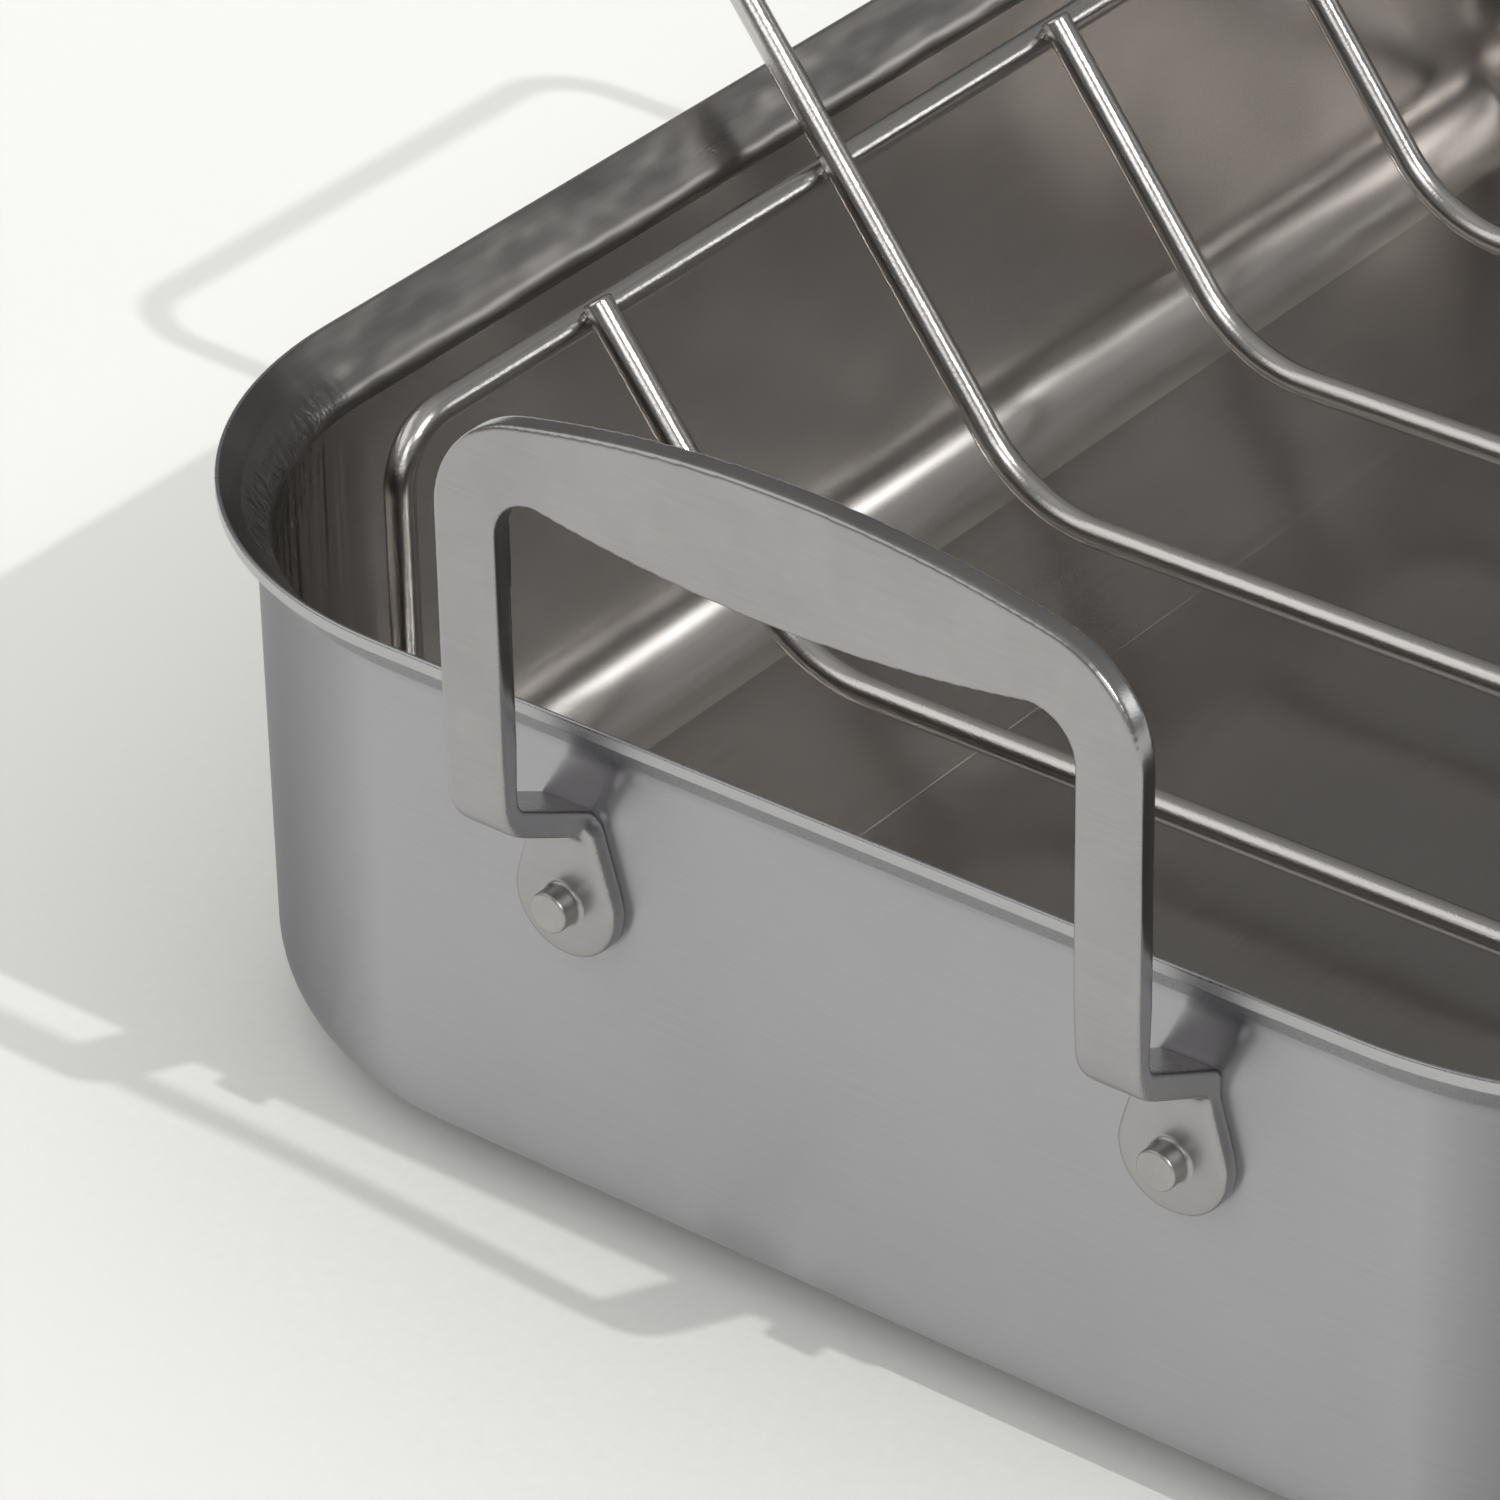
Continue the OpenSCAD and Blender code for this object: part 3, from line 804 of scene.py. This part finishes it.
def rack_frame_wire(tree, material):
    """The closed wire that makes both upper rails and, bent down at the ends, both feet."""
    points = []
    for x, y in ((LEG_STATION, RAIL_Y), (-LEG_STATION, -RAIL_Y)):
        points += [(-x, y, RAIL_HEIGHT), (x, y, RAIL_HEIGHT), (x, y, FOOT_HEIGHT), (x, -y, FOOT_HEIGHT)]
    bends = [RAIL_BEND, RAIL_BEND, FOOT_BEND, FOOT_BEND] * 2
    return bent_wire("rack_perimeter_wire", tree, points, bends, True, material)


def cross_wires(tree, material):
    """Three plain wires, bent down into the cradle from rail to rail."""
    top, x = RAIL_HEIGHT + WIRE_END, -2 * WIRE_PITCH
    stops = ((-1, top), (-1, CRADLE_HEIGHT), (1, CRADLE_HEIGHT), (1, top))
    points = [on_side(x, side, height) for side, height in stops]
    return bent_wire("rack_cross_wires", tree, points, [0, CRADLE_BEND, CRADLE_BEND, 0], False, material, 3)


def lifting_hoop_wire(tree, material):
    """The closed wire that crosses the cradle twice and rises into a loop at each long side."""
    points = []
    for x, side in ((-WIRE_PITCH, -1), (WIRE_PITCH, 1)):
        points += [on_side(x, side, LOOP_HEIGHT), on_side(x, side, CRADLE_HEIGHT),
                   on_side(x, -side, CRADLE_HEIGHT), on_side(x, -side, LOOP_HEIGHT)]
    bends = [LOOP_BEND, CRADLE_BEND, CRADLE_BEND, LOOP_BEND] * 2
    return bent_wire("rack_hoop_wire", tree, points, bends, True, material)


def set_in_place(name, tree, part, spots, material):
    """Copies of a small part, one on each spot's place and turned by its angles. The part itself goes."""
    mesh = new_mesh(part.name + "_spots", [place for place, _ in spots])
    layer = mesh.attributes.new("angles", "FLOAT_VECTOR", "POINT")
    for entry, (_, angles) in zip(layer.data, spots):
        entry.vector = angles
    made = run_tree(piece(mesh.name, mesh), tree, name, {"Part": part, "Part Size": 1.0, "Finish": material})
    bpy.data.objects.remove(part)
    return made


def weld_beads(tree, material):
    """A small squeezed bead where each cross wire is welded to a rail."""
    edit = bmesh.new()
    size = (BEAD_HALF_WIDTH * MM, BEAD_HALF_WIDTH * MM, BEAD_HALF_DEPTH * MM)
    bmesh.ops.create_uvsphere(edit, u_segments=28, v_segments=16, radius=1.0)
    bmesh.ops.scale(edit, vec=size, verts=edit.verts)
    bead = piece("bead", edited_mesh("bead", edit))
    y, z = RAIL_Y - math.cos(LEAN) * WIRE / 2, RAIL_HEIGHT + math.sin(LEAN) * WIRE / 2
    spots = [((k * WIRE_PITCH, side * y, z), (side * (math.pi / 2 + LEAN), 0, 0))
             for k in range(-2, 3) for side in (-1, 1)]
    return set_in_place("rack_weld_beads", tree, bead, spots, material)


def rivets(tree, material):
    """Domed head inside the wall, shank, and the closed button that stands out of the pad."""
    grip = SHEET + PAD
    seat, end = grip - BUTTON_SINK, grip + BUTTON_LENGTH
    dome = ((HEAD / 2) ** 2 + HEAD_HEIGHT ** 2) / (2 * HEAD_HEIGHT)
    spread = math.degrees(math.asin(HEAD / 2 / dome))
    waist = (BUTTON_BASE - SHANK) / 2
    section = [(0.0, -HEAD_HEIGHT)]
    section += arc((0, dome - HEAD_HEIGHT), dome, -90, -90 + spread, 12)[1:]
    section += [(HEAD / 2 - HEAD_RIM, 0.0), (SHANK / 2, 0.0)]
    section += [(SHANK / 2, seat), (BUTTON_BASE / 2 + BUTTON_SPREAD, seat)]
    section += arc((BUTTON_BASE / 2, grip + waist), waist, -90, -180, 8)
    section += arc((SHANK / 2 - BUTTON_ROUND, end - BUTTON_ROUND), BUTTON_ROUND, 0, 90, 6)
    section += [(SHANK / 2 - BUTTON_ROW, end), (0.0, end)]
    edit = bmesh.new()
    chain = [edit.verts.new((0, r * MM, z * MM)) for r, z in section]
    for a, b in zip(chain, chain[1:]):
        edit.edges.new((a, b))
    bmesh.ops.spin(edit, geom=edit.verts[:] + edit.edges[:], cent=(0, 0, 0), axis=(0, 0, 1),
                   angle=2 * math.pi, steps=48, use_merge=True)
    bmesh.ops.remove_doubles(edit, verts=edit.verts, dist=1e-7)
    bmesh.ops.recalc_face_normals(edit, faces=edit.faces)
    rivet = piece("rivet", edited_mesh("rivet", edit))
    spots = [((sx * (WALL_X - SHEET), sy * RIVET_Y, RIVET_HEIGHT), (0, sx * math.pi / 2, 0))
             for sx in (-1, 1) for sy in (-1, 1)]
    return set_in_place("handle_rivets", tree, rivet, spots, material)


# Build

wire_steel = drawn_wire_steel()
cast_steel = blasted_cast_steel()

pan = pressed_pan(
    brushed_wall_steel(),
    cut_edge_steel(),
    cut_edge_core(),
    satin_inside_steel(
        "satin_wall_steel", level=True, grain_scale=(22, 2600, 1), roughness=0.20, spread=0.75,
        relief=(0.0012, 0.0001, 0.0042, 0.0010),
        dark=(0.560, 0.538, 0.516), light=(0.590, 0.568, 0.546), painted_corner_shade=(0.30, 0.29, 0.28)),
    # Painted shade: the floor gets a darker base colour than the walls, though it is the same sheet.
    satin_inside_steel(
        "satin_floor_steel", level=False, grain_scale=(30, 2400, 2400), roughness=0.19, spread=0.60,
        relief=(0.0008, 0.0001, 0.0001, 0.0001),
        dark=(0.345, 0.330, 0.317), light=(0.378, 0.362, 0.349), painted_corner_shade=(0.85, 0.85, 0.85)),
    # Painted shade: the lip gets a much darker base colour than the walls, though it is the same sheet.
    satin_inside_steel(
        "satin_lip_steel", level=True, grain_scale=(60, 1500, 1), roughness=0.29, spread=0.30,
        relief=(0.0016, 0.0010, 0.0003, 0.0006),
        dark=(0.245, 0.235, 0.227), light=(0.280, 0.269, 0.260), painted_corner_shade=(0.74, 0.74, 0.76)))
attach(pan, "pan")
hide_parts("pan_body")

for name, node, side in (("loop_handle_left", "handle_left", -1), ("loop_handle_right", "handle_right", 1)):
    handle = loop_handle(name, cast_steel, side)
    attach(handle, "pan")
    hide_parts(node)

in_place = scatter_tree()
rivet_set = rivets(in_place, rivet_steel())
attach(rivet_set, "pan")
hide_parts("rivet_left_front", "rivet_left_back", "rivet_right_front", "rivet_right_back")

bent = bent_wire_tree()
for made, nodes in (
    (rack_frame_wire(bent, wire_steel), ("rack_frame",)),
    (lifting_hoop_wire(bent, wire_steel), ("rack_lifting_hoop",)),
    (cross_wires(bent, wire_steel), ("rack_wire_left", "rack_wire_middle", "rack_wire_right")),
    (weld_beads(in_place, wire_steel), ()),
):
    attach(made, "rack")
    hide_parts(*nodes)

table_corners = [(sx * TABLE_HALF, sy * TABLE_HALF, TABLE_TOP)
                 for sx, sy in ((-1, -1), (1, -1), (1, 1), (-1, 1))]
table = piece("table", new_mesh("table", table_corners, [(0, 1, 2, 3)]), pale_table())


# Light and camera

def direction(azimuth, height):
    """The way from the pan to what stands at these angles, in degrees, the azimuth counted from +X."""
    turn, rise = math.radians(azimuth), math.radians(height)
    return Vector((math.cos(turn) * math.cos(rise), math.sin(turn) * math.cos(rise), math.sin(rise)))


def glow(sky, heading, under, azimuth, height, full, gone, strength):
    """Adds a soft patch of light round one direction, full inside one angle and gone outside the other."""
    near = add(sky, "ShaderNodeVectorMath", operation="DOT_PRODUCT")
    near.inputs[1].default_value = direction(azimuth, height)
    fade = add(sky, "ShaderNodeMapRange", interpolation_type="SMOOTHSTEP")
    fade.inputs["From Min"].default_value = math.cos(math.radians(gone))
    fade.inputs["From Max"].default_value = math.cos(math.radians(full))
    fade.inputs["To Max"].default_value = strength
    wire_up(sky, (heading, near.inputs[0]), (near.outputs["Value"], fade.inputs["Value"]))
    return blended(sky, "ADD", under, fade.outputs["Result"])


def studio_room():
    """A grey room, lighter overhead, with a few soft patches of light."""
    world = bpy.data.worlds.new("studio")
    bpy.context.scene.world = world
    world.use_nodes = True
    sky = world.node_tree
    heading = add(sky, "ShaderNodeTexCoord").outputs["Generated"]
    split = add(sky, "ShaderNodeSeparateXYZ")
    shade = add(sky, "ShaderNodeValToRGB")
    for i, (at, grey) in enumerate(ROOM_GREYS):
        stop = shade.color_ramp.elements[i] if i < 2 else shade.color_ramp.elements.new(at)
        stop.position = at
        stop.color = (*(grey * share for share in ROOM_COLOUR), 1)
    wire_up(sky, (heading, split.inputs[0]), (split.outputs["Z"], shade.inputs["Fac"]))
    light = shade.outputs["Color"]
    for patch in ROOM_GLOWS:
        light = glow(sky, heading, light, **patch)
    sky.links.new(light, sky.nodes["Background"].inputs["Color"])


def aimed(name, data, azimuth, height, distance):
    """A light placed by its angles round the pan and aimed at it."""
    way = direction(azimuth, height)
    made = piece(name, data)
    made.location = way * distance
    made.rotation_euler = way.to_track_quat("Z", "Y").to_euler()


def sunlight():
    sun = bpy.data.lights.new("key", "SUN")
    sun.energy = SUN_STRENGTH
    sun.color = SUN_COLOUR
    sun.angle = math.radians(SUN_WIDTH)
    aimed("key", sun, SUN_AZIMUTH, SUN_HEIGHT, 3.0)


def soft_panel(name, azimuth, height, wide, tall, brightness, distance):
    """A soft panel that spans the angles wide and tall, seen from the pan."""
    data = bpy.data.lights.new(name, "AREA")
    data.shape = "RECTANGLE"
    data.size, data.size_y = (2 * distance * math.tan(math.radians(angle / 2)) for angle in (wide, tall))
    data.energy = brightness * math.pi * data.size * data.size_y
    data.color = ROOM_COLOUR
    aimed(name, data, azimuth, height, distance)


def photo_camera():
    """The camera, at the photograph's viewing angle."""
    data = bpy.data.cameras.new("camera")
    data.sensor_width = CAMERA_SENSOR
    data.lens = CAMERA_LENS
    data.clip_start = 0.05
    data.clip_end = 50.0
    back = Vector(CAMERA_BACK).normalized()
    level = Vector(CAMERA_LEVEL).normalized()
    level = (level - back * level.dot(back)).normalized()
    roll = math.radians(CAMERA_ROLL)
    right = level * math.cos(roll) + back.cross(level) * math.sin(roll)
    up = back.cross(right)
    camera = piece("camera", data)
    camera.matrix_world = Matrix((*zip(right, up, back, CAMERA_PLACE), (0, 0, 0, 1)))
    return camera


studio_room()
sunlight()
soft_panel("left_panel", azimuth=128, height=42, wide=66, tall=40, brightness=0.85, distance=9.0)
bpy.context.scene.camera = photo_camera()
bpy.context.scene.view_settings.view_transform = "Standard"
